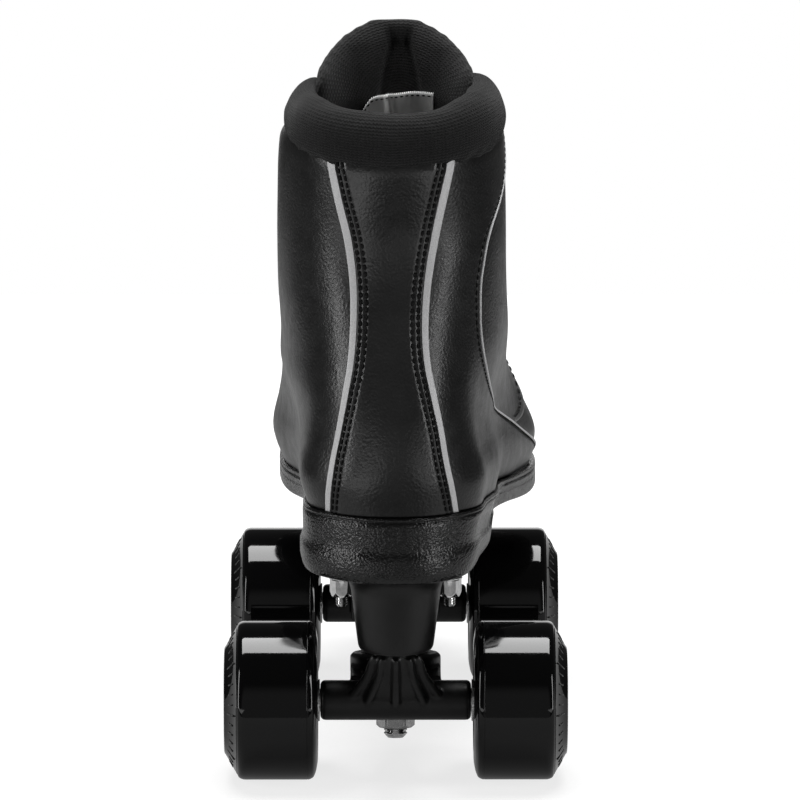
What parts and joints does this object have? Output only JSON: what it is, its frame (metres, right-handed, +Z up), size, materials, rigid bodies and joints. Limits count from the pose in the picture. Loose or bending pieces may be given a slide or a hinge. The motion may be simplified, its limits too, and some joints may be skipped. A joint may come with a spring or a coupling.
{
  "type": "quad roller skate",
  "caption": "High-top lace-up quad roller skate for the right foot, with tilting trucks, wheels on ball bearings and a toe stop",
  "frame": {"origin": "on the ground, under the middle of the skate's length, midway between its left and right wheels", "axes": "+X to the wearer's right, the outer side of this right skate; +Y towards the toe; +Z up"},
  "size_m": [0.1164, 0.2588, 0.2516],
  "materials": {
    "upper_leather": "black coated leather, semi-gloss",
    "knit": "black ribbed knit over padding",
    "lace_cord": "black woven lace",
    "sole_rubber": "black moulded sole with a fine pebble texture",
    "insole_foam": "dark cloth over foam",
    "chassis_plastic": "black glass-filled nylon, satin",
    "urethane": "black cast urethane, very glossy",
    "hub_plastic": "black nylon",
    "plated_steel": "bright zinc-plated steel",
    "cushion_rubber": "black urethane rubber"
  },
  "bodies": {
    "boot": {"outsole": "sole_rubber", "insole": "insole_foam", "backstay": "upper_leather", "vamp": "upper_leather", "quarter_lateral": "upper_leather", "quarter_medial": "upper_leather", "facing_lateral": "upper_leather", "facing_medial": "upper_leather", "collar": "knit", "tongue": "knit", "lace": "lace_cord", "plate": "chassis_plastic", "mounting_bolt_rear_right": "plated_steel", "mounting_bolt_rear_left": "plated_steel", "mounting_bolt_front_right": "plated_steel", "mounting_bolt_front_left": "plated_steel", "mounting_nut_rear_right": "plated_steel", "mounting_nut_rear_left": "plated_steel", "mounting_nut_front_right": "plated_steel", "mounting_nut_front_left": "plated_steel", "toe_stop": "sole_rubber", "toe_stop_bolt": "plated_steel", "rear_kingpin": "plated_steel", "rear_kingpin_nut": "plated_steel", "rear_cushion_washer": "plated_steel", "rear_upper_cushion": "cushion_rubber", "rear_lower_cushion": "cushion_rubber", "rear_pivot_cup": "cushion_rubber", "front_kingpin": "plated_steel", "front_kingpin_nut": "plated_steel", "front_cushion_washer": "plated_steel", "front_upper_cushion": "cushion_rubber", "front_lower_cushion": "cushion_rubber", "front_pivot_cup": "cushion_rubber"},
    "rear_truck": {"rear_hanger": "chassis_plastic", "rear_axle": "plated_steel", "rear_right_axle_nut": "plated_steel", "rear_left_axle_nut": "plated_steel"},
    "rear_right_wheel": {"rear_right_tyre": "urethane", "rear_right_hub": "hub_plastic", "rear_right_inner_bearing": "plated_steel", "rear_right_outer_bearing": "plated_steel"},
    "rear_left_wheel": {"rear_left_tyre": "urethane", "rear_left_hub": "hub_plastic", "rear_left_inner_bearing": "plated_steel", "rear_left_outer_bearing": "plated_steel"},
    "front_truck": {"front_hanger": "chassis_plastic", "front_axle": "plated_steel", "front_right_axle_nut": "plated_steel", "front_left_axle_nut": "plated_steel"},
    "front_right_wheel": {"front_right_tyre": "urethane", "front_right_hub": "hub_plastic", "front_right_inner_bearing": "plated_steel", "front_right_outer_bearing": "plated_steel"},
    "front_left_wheel": {"front_left_tyre": "urethane", "front_left_hub": "hub_plastic", "front_left_inner_bearing": "plated_steel", "front_left_outer_bearing": "plated_steel"}
  },
  "joints": [
    {"name": "rear_steering", "type": "hinge", "parent": "boot", "child": "rear_truck", "pos_m": [0, -0.067, 0.034], "axis": [0, 0.908, -0.4191], "range_deg": [-8, 8], "stiffness_Nm_per_rad": 20, "deforming": ["rear_upper_cushion", "rear_lower_cushion"]},
    {"name": "rear_right_wheel_spin", "type": "hinge", "parent": "rear_truck", "child": "rear_right_wheel", "pos_m": [0.04225, -0.092, 0.027], "axis": [1, 0, 0], "continuous": true},
    {"name": "rear_left_wheel_spin", "type": "hinge", "parent": "rear_truck", "child": "rear_left_wheel", "pos_m": [-0.04225, -0.092, 0.027], "axis": [1, 0, 0], "continuous": true},
    {"name": "front_steering", "type": "hinge", "parent": "boot", "child": "front_truck", "pos_m": [0, 0.033, 0.034], "axis": [0, -0.908, -0.4191], "range_deg": [-8, 8], "stiffness_Nm_per_rad": 20, "deforming": ["front_upper_cushion", "front_lower_cushion"]},
    {"name": "front_right_wheel_spin", "type": "hinge", "parent": "front_truck", "child": "front_right_wheel", "pos_m": [0.04225, 0.058, 0.027], "axis": [1, 0, 0], "continuous": true},
    {"name": "front_left_wheel_spin", "type": "hinge", "parent": "front_truck", "child": "front_left_wheel", "pos_m": [-0.04225, 0.058, 0.027], "axis": [1, 0, 0], "continuous": true}
  ]
}
